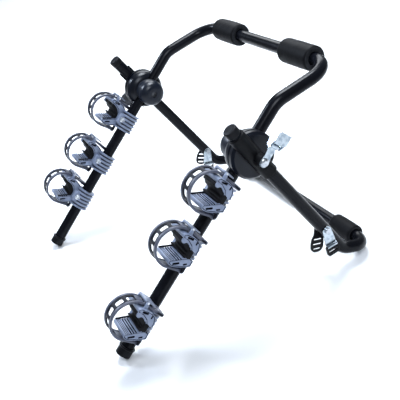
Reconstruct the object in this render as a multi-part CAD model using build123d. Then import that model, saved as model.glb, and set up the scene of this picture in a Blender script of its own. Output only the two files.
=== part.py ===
from build123d import *
import math
import os

# Boot-mounted carrier for three bicycles, standing on its two arms and its lower bar.
# Two bent tubes cross at a hub on each side: the carrying frame, whose legs run on as the arms,
# and the lower frame. Lengths are millimetres, +X is across the carrier and +Z is up.
# Everything is modelled on the left side (-X) and mirrored for the right.

# Tubes
TUBE_D = 28.0
TUBE_WALL = 2.0
ARM_SPACING = 552.0
LEG_OFFSET = 36.0
ARM_LENGTH = 488.0
RISE_LENGTH = 113.0
RISE_BEND = 29.8
RISE_RADIUS = 60.0
INCLINE_LENGTH = 142.0
CROSS_RADIUS = 58.0
LEG_LENGTH = 343.0
KICK_BEND = 44.0
KICK_RADIUS = 45.0
KICK_LENGTH = 72.0
LOW_RADIUS = 42.0
LEFT_STUB = 107.0
RIGHT_STUB = 86.0
OPENING = 77.5

# End caps
ARM_CAP_D = 33.0
ARM_CAP_LENGTH = 22.0
STUB_CAP_D = 30.0
STUB_CAP_LENGTH = 16.0
CAP_END = 3.0
CAP_RIM_D = 3.0
CAP_EDGE = 1.5

# Foam sleeves
UPPER_SLEEVE_D = 57.0
UPPER_SLEEVE_LENGTH = 112.0
LOWER_SLEEVE_D = 48.0
LOWER_SLEEVE_LENGTH = 80.0
SLEEVE_TO_BEND = 2.0
SLEEVE_EDGE = 4.0

# Hubs
HUB_D = 98.0
HUB_RIM = 9.0
DISC_WEB = 2.4
TOOTH_HEIGHT = 1.2
TOOTH_GAP = 0.8
TOOTH_COUNT = 24
TOOTH_RING_INNER = 30.0
TOOTH_RING_OUTER = 46.0
SHELL_TOP_D = 72.0
SHELL_FLOOR = 2.0
DISC_B_BACK = 2.0
LIP_WALL = 4.0
CLAMP_DOME_D = 66.0
CLAMP_DOME_SIDE = 32.0
CLAMP_DOME_RISE = 15.0
CLAMP_FACE_D = 30.0
CLAMP_RECESS_D = 20.0
CLAMP_RECESS_DEPTH = 12.0
HUB_BOLT_D = 10.0
HUB_BOLT_CLEARANCE = 0.06
HUB_BOLT_HEAD_D = 18.0
HUB_BOLT_HEAD = 4.0
HUB_NUT_AF = 15.0
HUB_NUT_HEIGHT = 8.0
HUB_WASHER = 1.5
SPRING_D = 28.0
SPRING_WALL = 1.2
COVER_WALL = 3.5
COVER_UP = 66.0
COVER_DOWN = 50.0
COVER_BOSS_D = 26.0
COVER_BOSS = 16.0
RUN_GAP = 0.3

# Cradles, stations measured down the arm from the hub axis
LEFT_STATIONS = (101.0, 229.0, 342.0)
RIGHT_STATIONS = (102.0, 225.0, 394.0)
COLLAR_D = 44.0
COLLAR_LENGTH = 50.0
COLLAR_CLEARANCE = 0.05
COLLAR_RIB = 3.0
COLLAR_RIB_WIDTH = 4.0
COLLAR_RIBS = 5
JAW_START = 3.0
JAW_WIDTH = 60.0
JAW_GAP = 49.0
JAW_WALL = 12.0
JAW_BED = 12.0
JAW_BASE = 15.0
JAW_FLOOR = 31.0
JAW_TOP = 64.0
JAW_SLOT = 4.0
JAW_SLOT_LENGTH = 14.0
CORE_WIDTH = 16.0
CORE_WALL = 6.5
GROOVE_D = 2.4
GROOVE_COUNT = 8
LINER_WALL = 9.0
LINER_FLOOR = 5.0
LINER_SHOULDER = 8.5
LINER_NOTCH = 3.0
LINER_INSET = 1.0
SPLIT = 3.0
LUG_LENGTH = 26.0
LUG_THICKNESS = 10.0
CLAMP_BOLT_D = 6.0
CLAMP_BOLT_HEAD_D = 12.0
CLAMP_BOLT_HEAD = 4.5

# Ladder straps and their latches
STRAP_RADIUS = 42.0
STRAP_RISE = 57.0
STRAP_WALL = 5.0
STRAP_WIDTH = 36.0
STRAP_START = -6.0
STRAP_TURN = 190.0
STRAP_FOOT = 34.0
STRAP_TAIL = 52.0
HOLE_PITCH = 24.0
HOLE_LENGTH = 16.0
HOLE_WIDTH = 12.0
PEG_D = 5.0
PEG_WALL = 2.6
EAR_WALL = 4.0
EAR_GAP = 0.6
LATCH_PIN_D = 3.0
LATCH_PIN_RISE = 48.0
LATCH_WALL = 3.0
LATCH_UP = 5.0
LATCH_DOWN = 22.0
LATCH_BARREL_D = 6.0
LATCH_GAP = 0.4

# Strap buckles: on each hub bolt a zinc tongue and a cam buckle; on each leg's bolt a zinc tongue
# with a one-slot frame on one side of the tube, and a plate with three slots on the other.
LEFT_BUCKLE_STATION = 288.0
RIGHT_BUCKLE_STATION = 258.0
BUCKLE_BOLT_D = 8.0
BUCKLE_HEAD_D = 13.0
BUCKLE_HEAD = 5.0
TONGUE_WALL = 2.5
TONGUE_END_D = 20.0
TONGUE_LENGTH = 38.0
TONGUE_WIDTH = 25.0
HUB_TONGUE_LENGTH = 36.0
HUB_TONGUE_WIDTH = 17.0
EYE_WALL = 2.0
EYE_BAR_D = 5.0
RING_WIDTH = 32.0
RING_WALL = 5.0
RING_BAR = 3.0
RING_SLOT = 6.0
RING_SLOT_WIDTH = 22.0
RING_FOOT = 6.5
RING_CORNER = 6.0
PLATE_WALL = 4.0
PLATE_WIDTH = 34.0
PLATE_SLOT = 6.5
PLATE_SLOT_WIDTH = 24.0
PLATE_SLOTS = 3
PLATE_PITCH = 11.5
PLATE_EDGE = 5.0
PLATE_CORNER = 9.0
PLATE_TAB_D = 20.0
LEFT_PLATE_TAB = 19.0
RIGHT_PLATE_TAB = 35.0
CAM_INNER_WIDTH = 26.0
CAM_WALL = 2.0
CAM_LENGTH = 27.0
CAM_PIN_ALONG = 10.5
CAM_PIN_RISE = 10.0
CAM_PIN_D = 4.0
CAM_D = 12.6
CHEEK_D = 12.0
LEVER_GAP = 0.6
LEVER_WALL = 2.0
LEVER_LIP = 4.0
SWING_HUB_LEFT = 73.0
SWING_OUTER_LEFT = 52.0
SWING_INNER_LEFT = 40.0
SWING_HUB_RIGHT = -106.0
SWING_OUTER_RIGHT = 22.0
SWING_INNER_RIGHT = 43.0

TUBE_R = TUBE_D / 2
ARM_CAP_R = ARM_CAP_D / 2
CENTRE_LOW = (Align.CENTER, Align.CENTER, Align.MIN)


def stand():
    """Angle of the arms below level and height of the hub axis, with arm caps and lower sleeves on the floor."""
    leg = math.radians(-OPENING)
    kick = leg - math.radians(KICK_BEND)
    bar_s = LEG_LENGTH * math.cos(leg) + KICK_LENGTH * math.cos(kick)
    bar_n = LEG_LENGTH * math.sin(leg) + KICK_LENGTH * math.sin(kick)
    tip_s, tip_n = ARM_LENGTH - CAP_EDGE, -ARM_CAP_R
    reach = math.hypot(bar_s - tip_s, bar_n - tip_n)
    ds, dn = (bar_s - tip_s) / reach, (bar_n - tip_n) / reach
    lift = LOWER_SLEEVE_D / 2 / reach
    side = math.sqrt(1 - lift * lift)
    up_s = lift * ds + side * dn
    up_n = lift * dn - side * ds
    return math.asin(-up_s), -(up_s * tip_s + up_n * tip_n)


ARM_FALL, HUB_HEIGHT = stand()
LEG_FALL = math.pi - math.radians(OPENING) - ARM_FALL
KICK_FALL = LEG_FALL - math.radians(KICK_BEND)
INCLINE_RISE = ARM_FALL - math.radians(RISE_BEND)
ARM_DIR = Vector(0, -math.cos(ARM_FALL), -math.sin(ARM_FALL))
LEG_DIR = Vector(0, math.cos(LEG_FALL), -math.sin(LEG_FALL))
KICK_DIR = Vector(0, math.cos(KICK_FALL), -math.sin(KICK_FALL))
INCLINE_DIR = Vector(0, math.cos(INCLINE_RISE), math.sin(INCLINE_RISE))
OUT = Vector(-1, 0, 0)
HUB = Vector(-ARM_SPACING / 2, 0, HUB_HEIGHT)
LEG_HUB = HUB + OUT * LEG_OFFSET

# Depths outboard of the arm's centre, through the hub
MID_GAP = LEG_OFFSET / 2
FACE_A = TUBE_R + DISC_WEB
FACE_B = LEG_OFFSET - TUBE_R - DISC_WEB
CREST_A = MID_GAP - TOOTH_GAP / 2
CREST_B = MID_GAP + TOOTH_GAP / 2
COVER_TOP = LEG_OFFSET + TUBE_R + COVER_WALL
BOSS_TOP = COVER_TOP + COVER_BOSS
HEAD_SEAT = BOSS_TOP + TONGUE_WALL + 2 * RUN_GAP
DISC_B_FACE = LEG_OFFSET - DISC_B_BACK
CLAMP_BASE = -TUBE_R - SHELL_FLOOR
CLAMP_TOP = CLAMP_BASE - CLAMP_DOME_SIDE - CLAMP_DOME_RISE


def arm_plane(station):
    """Plane on the left arm's axis: x down the arm, y out of the V, z outboard."""
    return Plane(origin=HUB + ARM_DIR * station, x_dir=ARM_DIR, z_dir=OUT)


def leg_plane(station):
    """Plane on the left leg's axis: x down the leg, y towards the arm, z outboard."""
    return Plane(origin=LEG_HUB + LEG_DIR * station, x_dir=LEG_DIR, z_dir=OUT)


def rod(plane, radius, start, end):
    """Round bar along a plane's x axis."""
    bar = Cylinder(radius, end - start, align=CENTRE_LOW)
    return plane * Pos(start, 0, 0) * Rot(0, 90, 0) * bar


def post(plane, radius, start, end, x=0.0, y=0.0):
    """Round bar along a plane's z axis."""
    return plane * Pos(x, y, start) * Cylinder(radius, end - start, align=CENTRE_LOW)


def turned(plane, points):
    """Solid of revolution about a plane's z axis, from radius and depth pairs."""
    profile = make_face(Polyline(*[(r, 0, z) for r, z in points], close=True))
    return plane * revolve(profile, Axis.Z)


def other(part):
    """The right-hand copy of a left-hand part."""
    return mirror(part, about=Plane.YZ)


def hub_hole(radius):
    """Bore along the hub axis, right through the hub."""
    return post(arm_plane(0), radius, CLAMP_TOP * 2, BOSS_TOP * 2)


def bent_tube(points, radii):
    """Hollow tube along straight runs joined by bends."""
    path = FilletPolyline(*points, radius=radii)
    end = Plane(origin=path @ 0, z_dir=path % 0)
    return sweep(end * (Circle(TUBE_R) - Circle(TUBE_R - TUBE_WALL)), path=path)


def carrying_frame():
    """One tube: arm, hub, rise, incline, crossbar and back down the other side."""
    tip = HUB + ARM_DIR * (ARM_LENGTH - CAP_END)
    knee = HUB - ARM_DIR * RISE_LENGTH
    corner = knee + INCLINE_DIR * INCLINE_LENGTH
    half = [tip, knee, corner]
    points = half + [Vector(-p.X, p.Y, p.Z) for p in reversed(half)]
    tube = bent_tube(points, [RISE_RADIUS, CROSS_RADIUS, CROSS_RADIUS, RISE_RADIUS])
    hole = hub_hole(HUB_BOLT_D / 2 + HUB_BOLT_CLEARANCE)
    return tube - hole - other(hole)


def lower_frame():
    """One tube: stub, hub, leg, kick, lower bar and back up the other side."""
    left_top, right_top = (LEG_HUB - LEG_DIR * (stub - CAP_END) for stub in (LEFT_STUB, RIGHT_STUB))
    knee = LEG_HUB + LEG_DIR * LEG_LENGTH
    corner = knee + KICK_DIR * KICK_LENGTH
    points = [left_top, knee, corner] + [Vector(-p.X, p.Y, p.Z) for p in (corner, knee, right_top)]
    tube = bent_tube(points, [KICK_RADIUS, LOW_RADIUS, LOW_RADIUS, KICK_RADIUS])
    hole = hub_hole(HUB_BOLT_D / 2 + HUB_BOLT_CLEARANCE)
    left = post(leg_plane(LEFT_BUCKLE_STATION), BUCKLE_BOLT_D / 2, -TUBE_D, TUBE_D)
    right = post(leg_plane(RIGHT_BUCKLE_STATION), BUCKLE_BOLT_D / 2, -TUBE_D, TUBE_D)
    return tube - hole - other(hole) - left - other(right)


def end_cap(plane, diameter, length):
    """Plastic cap pushed over a tube's end, which lies CAP_END short of the plane's origin."""
    cap = rod(plane, diameter / 2, -length, 0)
    cap = chamfer(cap.edges().filter_by(GeomType.CIRCLE).sort_by_distance(plane.origin)[0], CAP_EDGE)
    cap += rod(plane, (diameter + CAP_RIM_D) / 2, -length, -length + CAP_END)
    return cap - rod(plane, TUBE_R, -2 * length, -CAP_END)


def sleeve(centre_line, diameter, length, bend_radius, reach):
    """Foam sleeve on a crossbar, ending just short of the bend."""
    start = reach - bend_radius - SLEEVE_TO_BEND
    bar = Plane(origin=Vector(-start, centre_line.Y, centre_line.Z), x_dir=(0, 1, 0), z_dir=(1, 0, 0))
    foam = post(bar, diameter / 2, 0, length)
    foam = fillet(foam.edges().filter_by(GeomType.CIRCLE), SLEEVE_EDGE)
    return foam - post(bar, TUBE_R, -length, 2 * length)


def tooth_ring(face, crest):
    """Radial teeth standing on a hub disc, from its face to their crest."""
    pitch = math.pi * (TOOTH_RING_INNER + TOOTH_RING_OUTER) / TOOTH_COUNT
    root = pitch * 0.36
    tip = pitch * 0.12
    plane = Plane(origin=(TOOTH_RING_INNER, 0, 0), x_dir=(0, 1, 0), z_dir=(1, 0, 0))
    profile = make_face(Polyline((-root, face), (root, face), (tip, crest), (-tip, crest), close=True))
    tooth = extrude(plane * profile, TOOTH_RING_OUTER - TOOTH_RING_INNER)
    return [Rot(0, 0, 360 / TOOTH_COUNT * i) * tooth for i in range(TOOTH_COUNT)]


def hub_shell():
    """Large dome on the arm side of the hub, holding the arm's tube in a channel, toothed outboard."""
    rim = HUB_D / 2
    plane = arm_plane(0)
    dome = turned(plane, [(0, CLAMP_BASE), (SHELL_TOP_D / 2, CLAMP_BASE), (rim * 0.93, -TUBE_R * 0.45),
                          (rim, FACE_A - HUB_RIM), (rim, FACE_A), (0, FACE_A)])
    ring = tooth_ring(FACE_A, CREST_A)
    dome = dome + [plane * tooth for tooth in ring]
    lip = rod(plane, TUBE_R + LIP_WALL, -rim, -rim * 0.7)
    return dome + lip - rod(plane, TUBE_R, -HUB_D, HUB_D) - hub_hole(HUB_BOLT_D / 2)


def hub_disc():
    """Toothed disc on the leg side of the hub, with a channel for the leg's tube."""
    rim = HUB_D / 2
    plane = leg_plane(0).offset(-LEG_OFFSET)
    disc = turned(plane, [(0, FACE_B), (rim, FACE_B), (rim, FACE_B + HUB_RIM),
                          (rim * 0.9, DISC_B_FACE), (0, DISC_B_FACE)])
    half_step = Rot(0, 0, 180 / TOOTH_COUNT)
    disc = disc + [plane * half_step * tooth for tooth in tooth_ring(FACE_B, CREST_B)]
    return disc - rod(leg_plane(0), TUBE_R, -HUB_D, HUB_D) - hub_hole(HUB_BOLT_D / 2 + HUB_BOLT_CLEARANCE)


def leg_cover():
    """Long half-round cover over the leg's tube, outboard of the toothed disc."""
    plane = leg_plane(0)
    radius = TUBE_R + COVER_WALL
    cover = rod(plane, radius, -COVER_UP, COVER_DOWN)
    length = COVER_UP + COVER_DOWN
    middle = (COVER_DOWN - COVER_UP) / 2
    cut = Box(length * 2, radius * 4, radius * 2, align=(Align.CENTER, Align.CENTER, Align.MAX))
    cover = cover - plane * Pos(middle, 0, -DISC_B_BACK) * cut
    ends = cover.edges().filter_by(GeomType.CIRCLE)
    cover = fillet(ends.sort_by(Axis(plane.origin, plane.x_dir))[0], COVER_WALL * 0.6)
    cover += post(plane, COVER_BOSS_D / 2, 0, radius + COVER_BOSS)
    cover -= rod(plane, TUBE_R, -2 * length, 2 * length)
    return cover - hub_hole(HUB_BOLT_D / 2 + HUB_BOLT_CLEARANCE)


def hub_clamp():
    """Small round dome inboard, which clamps the arm's tube into the large one."""
    side = CLAMP_BASE - CLAMP_DOME_SIDE
    rim = CLAMP_DOME_D / 2
    plane = arm_plane(0)
    dome = turned(plane, [(0, CLAMP_BASE),
                          (rim * 0.94, CLAMP_BASE),
                          (rim, CLAMP_BASE - CLAMP_DOME_SIDE * 0.3),
                          (rim * 0.98, CLAMP_BASE - CLAMP_DOME_SIDE * 0.7),
                          (rim * 0.92, side),
                          (rim * 0.80, side - CLAMP_DOME_RISE * 0.45),
                          (rim * 0.63, side - CLAMP_DOME_RISE * 0.8),
                          (CLAMP_FACE_D / 2, CLAMP_TOP),
                          (0, CLAMP_TOP)])
    recess = post(plane, CLAMP_RECESS_D / 2, CLAMP_TOP - 1, CLAMP_TOP + CLAMP_RECESS_DEPTH)
    return dome - recess - hub_hole(HUB_BOLT_D / 2)


def hub_hardware():
    """Bolt, washer and nut of one hub, and the disc spring that parts its teeth when it is slack."""
    plane = arm_plane(0)
    seat = HEAD_SEAT
    nut_face = CLAMP_TOP + CLAMP_RECESS_DEPTH
    bolt = post(plane, HUB_BOLT_D / 2, CLAMP_TOP + 1, seat)
    head = turned(plane, [(0, seat),
                          (HUB_BOLT_HEAD_D / 2, seat),
                          (HUB_BOLT_HEAD_D / 2, seat + HUB_BOLT_HEAD * 0.4),
                          (HUB_BOLT_HEAD_D / 4, seat + HUB_BOLT_HEAD),
                          (0, seat + HUB_BOLT_HEAD)])
    washer = post(plane, HUB_NUT_AF * 0.6, nut_face - HUB_WASHER, nut_face)
    nut = extrude(RegularPolygon(HUB_NUT_AF / 2, 6, major_radius=False), HUB_NUT_HEIGHT)
    nut = plane * Pos(0, 0, nut_face - HUB_WASHER - HUB_NUT_HEIGHT) * nut
    bore = hub_hole(HUB_BOLT_D / 2)
    inner = HUB_BOLT_D / 2 + 1
    low, high = FACE_A, FACE_B - RUN_GAP
    spring = turned(plane, [(inner, low),
                            (inner + SPRING_WALL, low),
                            (SPRING_D / 2, high - SPRING_WALL),
                            (SPRING_D / 2, high),
                            (SPRING_D / 2 - SPRING_WALL, high),
                            (inner, low + SPRING_WALL)])
    return [bolt + head, washer - bore, nut - bore, spring]


def slant_point(rise):
    """Point on the lower jaw's slanting inner face, in a cradle's own plane."""
    share = (rise - JAW_FLOOR) / (JAW_TOP - JAW_FLOOR)
    return (JAW_BED / 2 + (JAW_GAP / 2 - JAW_BED / 2) * share, rise)


def bed_arc():
    """The upper jaw's inner face, from its upright part down to the bed."""
    rise = JAW_TOP - JAW_FLOOR
    upright = (-JAW_GAP / 2, JAW_FLOOR + rise * 0.6)
    bow = (-JAW_GAP * 0.35, JAW_FLOOR + rise * 0.22)
    return ThreePointArc(upright, bow, (-JAW_BED / 2, JAW_FLOOR))


def jaw_profile():
    """The two jaws of a cradle: the upper one stands up, the lower one leans out."""
    gap, wall = JAW_GAP / 2, JAW_WALL
    rise = JAW_TOP - JAW_FLOOR
    waist = JAW_FLOOR + rise * 0.6
    tip = JAW_TOP - wall / 2
    heel = JAW_BASE + (JAW_FLOOR - JAW_BASE) * 0.4
    upper = [(-gap - wall * 0.35, heel),
             (-gap - wall * 0.8, JAW_FLOOR),
             (-gap - wall, JAW_FLOOR + rise * 0.45),
             (-gap - wall, tip),
             (-gap - wall * 0.5, JAW_TOP),
             (-gap, tip)]
    lower = [(gap - wall * 0.4, JAW_BASE),
             (gap + wall * 0.3, JAW_FLOOR),
             (gap + wall * 0.75, waist),
             (gap + wall * 0.75, tip - 1),
             (gap + wall * 0.55, JAW_TOP - 1.5),
             slant_point(JAW_TOP)]
    back = (-gap + wall * 0.6, JAW_BASE + 1.5)
    edges = [ThreePointArc(*upper[:3]), Line(upper[2], upper[3]), ThreePointArc(*upper[3:]),
             Line(upper[5], bed_arc() @ 0), bed_arc(),
             Line(bed_arc() @ 1, slant_point(JAW_FLOOR)), Line(slant_point(JAW_FLOOR), lower[5]),
             ThreePointArc(*lower[:3]), Line(lower[2], lower[3]), ThreePointArc(*lower[3:]),
             Line(lower[0], back), Line(back, upper[0])]
    return make_face(edges)


def strap_point(angle, radius=STRAP_RADIUS):
    """Point on the strap's round part, in a cradle's own plane."""
    turn = math.radians(angle)
    return (radius * math.cos(turn), STRAP_RISE + radius * math.sin(turn))


def foot_point(distance, radius=STRAP_RADIUS):
    """Point on the strap's straight run down to its peg."""
    turn = math.radians(STRAP_START)
    x, y = strap_point(STRAP_START, radius)
    return (x + distance * math.sin(turn), y - distance * math.cos(turn))


STRAP_MID = JAW_START + JAW_WIDTH / 2
PEG = foot_point(STRAP_FOOT)
LATCH_PIN_S = -STRAP_RADIUS - STRAP_WALL / 2 - LATCH_GAP - LATCH_BARREL_D / 2


def ears(plane):
    """Four ears of a cradle: two hold the strap's peg and two hold the latch's pin."""
    gap = JAW_GAP / 2
    peg_ear = make_face(Polyline((gap * 0.7, JAW_BASE), PEG, (gap + JAW_WALL * 0.6, JAW_FLOOR + 8),
                                 (gap, JAW_FLOOR + 8), close=True))
    latch_ear = make_face(Polyline((-gap - JAW_WALL / 2, LATCH_PIN_RISE - 9),
                                   (LATCH_PIN_S, LATCH_PIN_RISE - LATCH_BARREL_D / 2),
                                   (LATCH_PIN_S, LATCH_PIN_RISE + LATCH_BARREL_D / 2),
                                   (-gap - JAW_WALL / 2, LATCH_PIN_RISE + 9), close=True))
    first = STRAP_MID - STRAP_WIDTH / 2 - EAR_GAP - EAR_WALL
    second = STRAP_MID + STRAP_WIDTH / 2 + EAR_GAP
    made = []
    for start in (first, second):
        place = plane * Pos(0, 0, start)
        made += [place * extrude(peg_ear, EAR_WALL), place * extrude(latch_ear, EAR_WALL)]
        made.append(post(plane, PEG_D, start, start + EAR_WALL, *PEG))
        made.append(post(plane, LATCH_BARREL_D / 2, start, start + EAR_WALL, LATCH_PIN_S, LATCH_PIN_RISE))
    made.append(post(plane, PEG_D / 2, first, second + EAR_WALL, *PEG))
    return made


def jaw(plane):
    """Collar round the arm, clamping lug and the two jaws, in one moulding."""
    radius = COLLAR_D / 2
    half = COLLAR_LENGTH / 2
    body = rod(plane, radius, -half, half)
    for i in range(COLLAR_RIBS):
        s = -half + (COLLAR_LENGTH - COLLAR_RIB_WIDTH) * i / (COLLAR_RIBS - 1)
        body += rod(plane, radius + COLLAR_RIB, s, s + COLLAR_RIB_WIDTH)
    lug = Box(LUG_LENGTH, JAW_FLOOR, LUG_THICKNESS + SPLIT + JAW_START,
              align=(Align.CENTER, Align.MIN, Align.MIN))
    body += plane * Pos(0, 0, -LUG_THICKNESS - SPLIT) * lug
    body += plane * Pos(0, 0, JAW_START) * extrude(jaw_profile(), JAW_WIDTH)
    for ear in ears(plane):
        body += ear
    body -= rod(plane, TUBE_R + COLLAR_CLEARANCE, -COLLAR_LENGTH, COLLAR_LENGTH)
    slit = Box(COLLAR_LENGTH * 2, JAW_TOP, SPLIT, align=(Align.CENTER, Align.MIN, Align.MIN))
    body -= plane * Pos(0, 0, -SPLIT) * slit
    middle = (JAW_FLOOR + JAW_TOP) / 2
    lean = math.degrees(math.atan2(JAW_GAP / 2 - JAW_BED / 2, JAW_TOP - JAW_FLOOR))
    upper, lower = -JAW_GAP / 2 - JAW_WALL * 0.52, slant_point(middle)[0] + JAW_WALL * 0.8
    for x, turn in ((upper, 90), (lower, 90 - lean)):
        slot = extrude(Rot(0, 0, turn) * SlotOverall(JAW_SLOT_LENGTH, JAW_SLOT), JAW_WIDTH * 2)
        body -= plane * Pos(x, middle, 0) * slot
    low, high = JAW_FLOOR + LINER_FLOOR + GROOVE_D, JAW_TOP - GROOVE_D
    for i in range(GROOVE_COUNT):
        spot = slant_point(low + (high - low) * i / (GROOVE_COUNT - 1))
        body -= post(plane, GROOVE_D / 2, 0, JAW_WIDTH * 2, *spot)
    body -= post(plane, LATCH_PIN_D / 2, 0, JAW_WIDTH, LATCH_PIN_S, LATCH_PIN_RISE)
    rise = bolt_rise()
    body -= post(plane, CLAMP_BOLT_HEAD_D / 2 + 0.5, -COLLAR_D, -LUG_THICKNESS - SPLIT, 0, rise)
    pocket = Box(CORE_WIDTH, JAW_FLOOR - JAW_BASE - CORE_WALL + 2, JAW_START + JAW_WIDTH,
                 align=(Align.CENTER, Align.MIN, Align.MIN))
    depth = radius + COLLAR_RIB + CORE_WALL
    body -= plane * Pos(0, JAW_BASE - 2, depth) * pocket
    return body - post(plane, CLAMP_BOLT_D / 2, -COLLAR_D, depth, 0, rise)


def bolt_rise():
    """Height of a cradle's clamp bolt above the arm's axis."""
    return TUBE_R + CLAMP_BOLT_D / 2 + COLLAR_CLEARANCE + 2.5


def liner(plane):
    """Rubber block on the bed of the jaws, notched for a round tube, and its wall up the upper jaw."""
    inner = -JAW_GAP / 2 + LINER_WALL
    tip = JAW_TOP - JAW_WALL / 2
    crest = JAW_FLOOR + LINER_FLOOR
    face = bed_arc()
    corners = [(inner - 1, tip),
               (inner + 1, (tip + crest) / 2),
               (-JAW_BED / 2, JAW_FLOOR + LINER_SHOULDER),
               (-JAW_BED / 4, crest),
               (JAW_BED / 12, crest - LINER_NOTCH),
               (JAW_BED * 0.4, crest),
               slant_point(crest),
               slant_point(JAW_FLOOR),
               (-JAW_BED / 2, JAW_FLOOR)]
    edges = [Line(a, b) for a, b in zip(corners, corners[1:])]
    edges += [face, Line(face @ 0, (-JAW_GAP / 2, tip)), Line((-JAW_GAP / 2, tip), corners[0])]
    pad = extrude(make_face(edges), JAW_WIDTH - 2 * LINER_INSET)
    return plane * Pos(0, 0, JAW_START + LINER_INSET) * pad


def strap(plane):
    """Ladder strap: peg eye, straight foot, round loop and free tail, with slots between its rails."""
    inner, outer = STRAP_RADIUS - STRAP_WALL / 2, STRAP_RADIUS + STRAP_WALL / 2
    middle = (STRAP_START + STRAP_TURN) / 2
    turn = math.radians(STRAP_TURN)
    along = Vector(-math.sin(turn), math.cos(turn))
    tail_in = Vector(*strap_point(STRAP_TURN, inner))
    tail_out = Vector(*strap_point(STRAP_TURN, outer))
    edges = [Line(foot_point(STRAP_FOOT, inner), foot_point(STRAP_FOOT, outer)),
             Line(tail_in, tail_in + along * STRAP_TAIL),
             Line(tail_out, tail_out + along * STRAP_TAIL),
             Line(tail_in + along * STRAP_TAIL, tail_out + along * STRAP_TAIL)]
    for radius, end in ((inner, tail_in), (outer, tail_out)):
        edges.append(Line(foot_point(STRAP_FOOT, radius), foot_point(0, radius)))
        edges.append(ThreePointArc(foot_point(0, radius), strap_point(middle, radius), end))
    low = STRAP_MID - STRAP_WIDTH / 2
    band = plane * Pos(0, 0, low) * extrude(make_face(edges), STRAP_WIDTH)
    band += post(plane, PEG_D / 2 + PEG_WALL, low, low + STRAP_WIDTH, *PEG)
    step = math.degrees(HOLE_PITCH / STRAP_RADIUS)
    hole = Box(STRAP_WALL * 3, HOLE_LENGTH, HOLE_WIDTH)
    count = int((STRAP_TURN - STRAP_START) / step - 0.35)
    for i in range(count):
        angle = STRAP_TURN - step * (i + 0.85)
        x, y = strap_point(angle)
        band -= plane * Pos(x, y, STRAP_MID) * Rot(0, 0, angle) * hole
    start = Vector(*strap_point(STRAP_TURN))
    for distance in (HOLE_LENGTH * 0.55, HOLE_LENGTH * 0.55 + HOLE_PITCH):
        spot = start + along * distance
        band -= plane * Pos(spot.X, spot.Y, STRAP_MID) * Rot(0, 0, STRAP_TURN) * hole
    return band - post(plane, PEG_D / 2 + COLLAR_CLEARANCE, 0, JAW_WIDTH * 2, *PEG)


def latch(plane):
    """Lever of the ratchet, pinned to the upper jaw's ears, with a pawl in the strap's ladder."""
    lean = STRAP_TURN - 180
    width = STRAP_WIDTH - 1
    low = STRAP_MID - width / 2
    body = post(plane, LATCH_BARREL_D / 2, low, low + width, LATCH_PIN_S, LATCH_PIN_RISE)
    plate = Box(LATCH_WALL, LATCH_DOWN + LATCH_UP, width, align=(Align.CENTER, Align.MAX, Align.MIN))
    tail = fillet(plate.edges().filter_by(Axis.X).sort_by(Axis.Y)[:2], 5)
    spot = Pos(LATCH_PIN_S, LATCH_PIN_RISE, low) * Rot(0, 0, lean)
    shift = -LATCH_BARREL_D / 2 + LATCH_WALL / 2
    body += plane * spot * Pos(shift, LATCH_UP, 0) * tail
    reach = LATCH_BARREL_D / 2 + LATCH_GAP + STRAP_WALL * 0.7 - shift
    pawl = Box(reach, HOLE_LENGTH * 0.3, HOLE_WIDTH - 3, align=(Align.MIN, Align.CENTER, Align.CENTER))
    drop = strap_point(STRAP_TURN)[1] - LATCH_PIN_RISE - HOLE_LENGTH * 0.5
    body += plane * spot * Pos(shift, drop, width / 2) * pawl
    return body - post(plane, LATCH_PIN_D / 2 + COLLAR_CLEARANCE, 0, JAW_WIDTH, LATCH_PIN_S, LATCH_PIN_RISE)


def cradle_fixings(plane):
    """Clamp bolt and nut of one cradle, and its latch's pin."""
    rise = bolt_rise()
    head = -LUG_THICKNESS - SPLIT
    end = COLLAR_D / 2
    bolt = post(plane, CLAMP_BOLT_D / 2, head, end, 0, rise)
    bolt += post(plane, CLAMP_BOLT_HEAD_D / 2, head - CLAMP_BOLT_HEAD, head, 0, rise)
    pin_start = STRAP_MID - STRAP_WIDTH / 2 - EAR_GAP - EAR_WALL
    pin = post(plane, LATCH_PIN_D / 2, pin_start, pin_start + STRAP_WIDTH + 2 * (EAR_GAP + EAR_WALL),
               LATCH_PIN_S, LATCH_PIN_RISE)
    return [bolt, pin]


EYE_R = EYE_BAR_D / 2 + EYE_WALL


def eye_bar(length, width):
    """Round bar through a tongue's eye, in the tongue's own plane."""
    return Pos(length, 0, EYE_R) * Rot(90, 0, 0) * Cylinder(EYE_BAR_D / 2, width)


def tongue(plane, bolt_d, length, width):
    """Zinc plate with a bolt hole at its rounded end and a rolled eye at the other."""
    radius = TONGUE_END_D / 2
    half = width / 2
    neck, shoulder = length * 0.35, length * 0.7
    plate = make_face([ThreePointArc((0, -radius), (-radius, 0), (0, radius)),
                       Line((0, radius), (neck, half * 0.9)), Line((neck, half * 0.9), (shoulder, half)),
                       Line((shoulder, half), (length, half)), Line((length, half), (length, -half)),
                       Line((length, -half), (shoulder, -half)), Line((shoulder, -half), (neck, -half * 0.9)),
                       Line((neck, -half * 0.9), (0, -radius))])
    body = extrude(plate, TONGUE_WALL)
    eye = Pos(length, 0, EYE_R) * Rot(90, 0, 0) * Cylinder(EYE_R, width)
    bore = Pos(length, 0, EYE_R) * Rot(90, 0, 0) * Cylinder(EYE_BAR_D / 2 + COLLAR_CLEARANCE, width * 2)
    hole = Cylinder(bolt_d / 2 + COLLAR_CLEARANCE, TONGUE_WALL * 4)
    return plane * (body + eye - bore - hole)


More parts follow.
